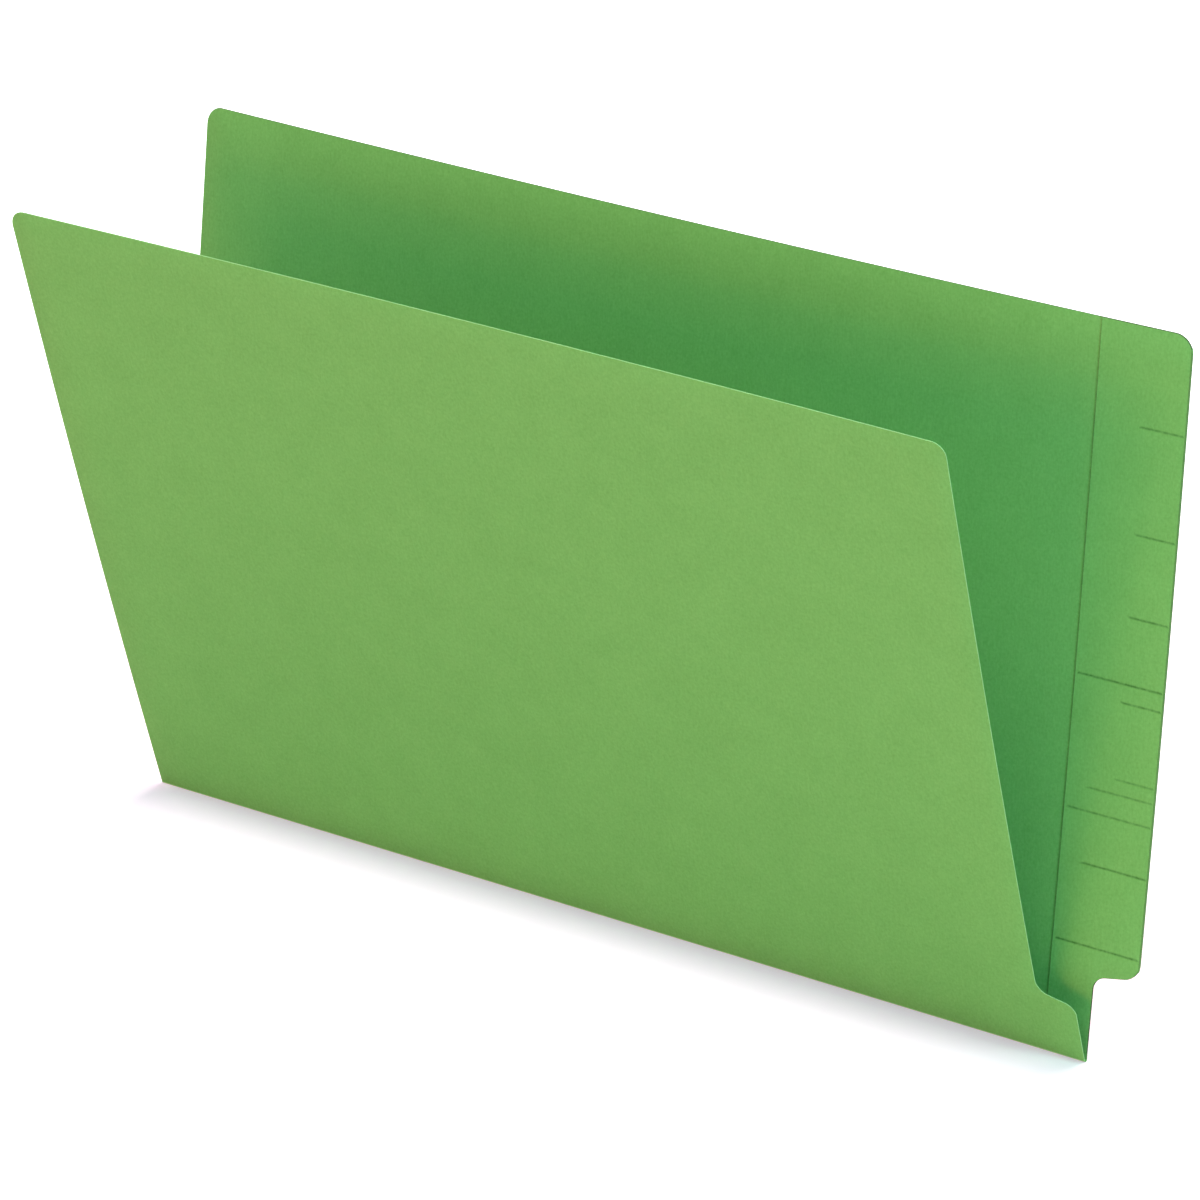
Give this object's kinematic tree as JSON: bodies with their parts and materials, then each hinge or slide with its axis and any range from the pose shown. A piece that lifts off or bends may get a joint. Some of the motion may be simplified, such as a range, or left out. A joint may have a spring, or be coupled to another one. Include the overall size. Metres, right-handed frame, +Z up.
{
  "type": "side tab folder",
  "caption": "Two-leaf card folder standing open on its bottom fold, with slightly bowed leaves, a two-ply side tab, pressed label guides, rounded corners and a cut-back front leaf.",
  "frame": {"origin": "middle of the underside of the bottom fold, on the surface that the folder stands on", "axes": "+X along the fold toward the side tab, -Y toward the front leaf, +Z up"},
  "size_m": [0.3873, 0.1093, 0.2404],
  "materials": {
    "card": "matte, uncoated",
    "tab_card": "matte, uncoated",
    "fold": "matte, burnished along the fold",
    "paste": "dried paste"
  },
  "bodies": {
    "back_panel": {"back_leaf": "card", "spine_crease": "fold", "tab_inner_ply": "tab_card", "tab_edge_roll": "fold", "tab_paste": "paste"},
    "front_panel": {"front_leaf": "card"}
  },
  "joints": [
    {"name": "spine_fold", "type": "hinge", "parent": "back_panel", "child": "front_panel", "pos_m": [0, 0, 0.00072], "axis": [1, 0, 0], "range_deg": [-22.5, 157.5], "deforming": ["spine_crease"]}
  ]
}
